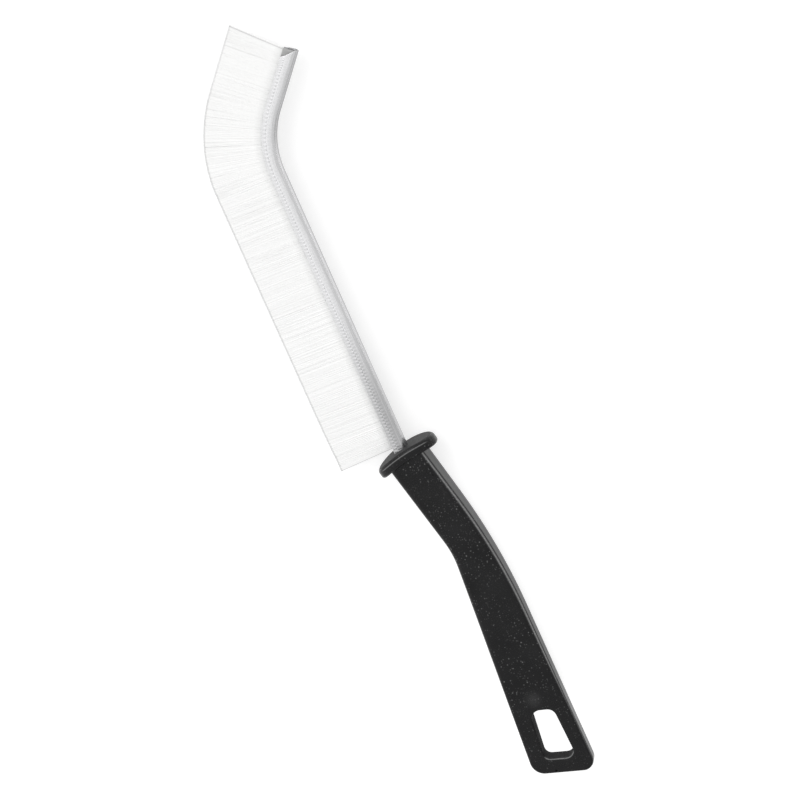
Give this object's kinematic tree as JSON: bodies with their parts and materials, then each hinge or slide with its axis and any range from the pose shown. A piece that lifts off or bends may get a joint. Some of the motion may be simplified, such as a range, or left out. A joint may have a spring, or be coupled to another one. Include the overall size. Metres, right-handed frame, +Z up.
{
  "type": "crevice brush",
  "caption": "Crevice brush with a bent strip of white bristles in a steel channel and a black plastic handle with a hang slot.",
  "frame": {"origin": "under the middle of the bounding box, on the surface that the brush lies on", "axes": "+Y from the handle to the nose, +X towards the steel spine, bristles towards -X, +Z up from the surface"},
  "size_m": [0.0412, 0.2558, 0.0136],
  "materials": {
    "handle_plastic": "satin moulded polypropylene with a fine grain",
    "strip_steel": "bright galvanised strip with fine drawing lines",
    "wire_steel": "drawn wire",
    "filament_nylon": "white nylon filament, slightly translucent"
  },
  "bodies": {
    "root": {"handle": "handle_plastic", "channel": "strip_steel", "core_wire": "wire_steel", "tang_filaments": "filament_nylon", "bristles_01": "filament_nylon", "bristles_02": "filament_nylon", "bristles_03": "filament_nylon", "bristles_04": "filament_nylon", "bristles_05": "filament_nylon", "bristles_06": "filament_nylon", "bristles_07": "filament_nylon", "bristles_08": "filament_nylon", "bristles_09": "filament_nylon", "bristles_10": "filament_nylon", "bristles_11": "filament_nylon", "bristles_12": "filament_nylon"}
  },
  "joints": []
}
